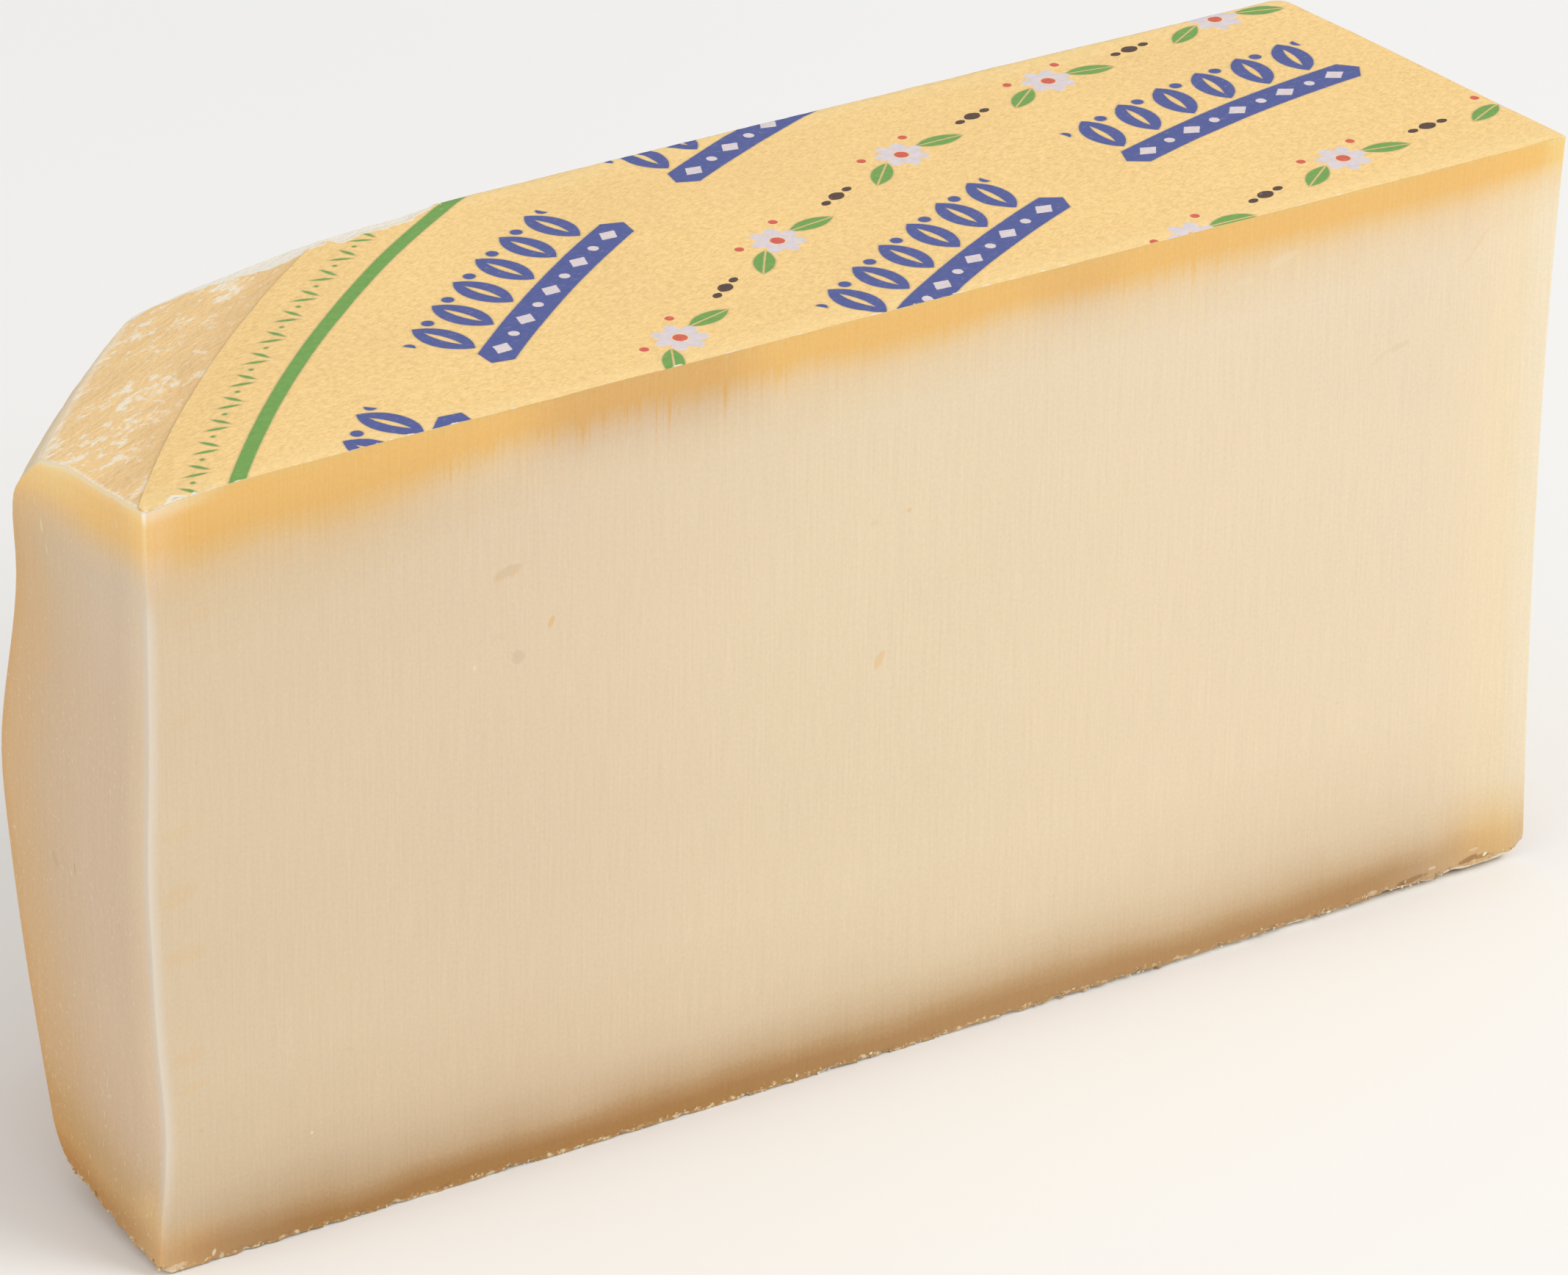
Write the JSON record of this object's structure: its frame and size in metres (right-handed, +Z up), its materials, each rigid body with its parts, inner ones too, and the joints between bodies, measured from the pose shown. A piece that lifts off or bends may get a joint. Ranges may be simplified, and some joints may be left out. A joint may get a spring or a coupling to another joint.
{
  "type": "cheese wedge",
  "caption": "Block cut from a wheel of hard pressed cheese, with a stretch of the curved rim at an end and a round-edged paper label on its top.",
  "frame": {"origin": "bottom centre of the bounding box, on the surface that the cheese stands on", "axes": "+X along the long cuts, away from the rim end; +Y from the front cut to the back cut; +Z up"},
  "size_m": [0.2198, 0.0598, 0.1114],
  "materials": {
    "cheese": "ivory cheese paste, waxy and slightly translucent, with golden and brown rind borders",
    "label_paper": "uncoated yellow fibrous paper with printed shapes"
  },
  "bodies": {
    "root": {"cheese": "cheese", "label": "label_paper"}
  },
  "joints": []
}
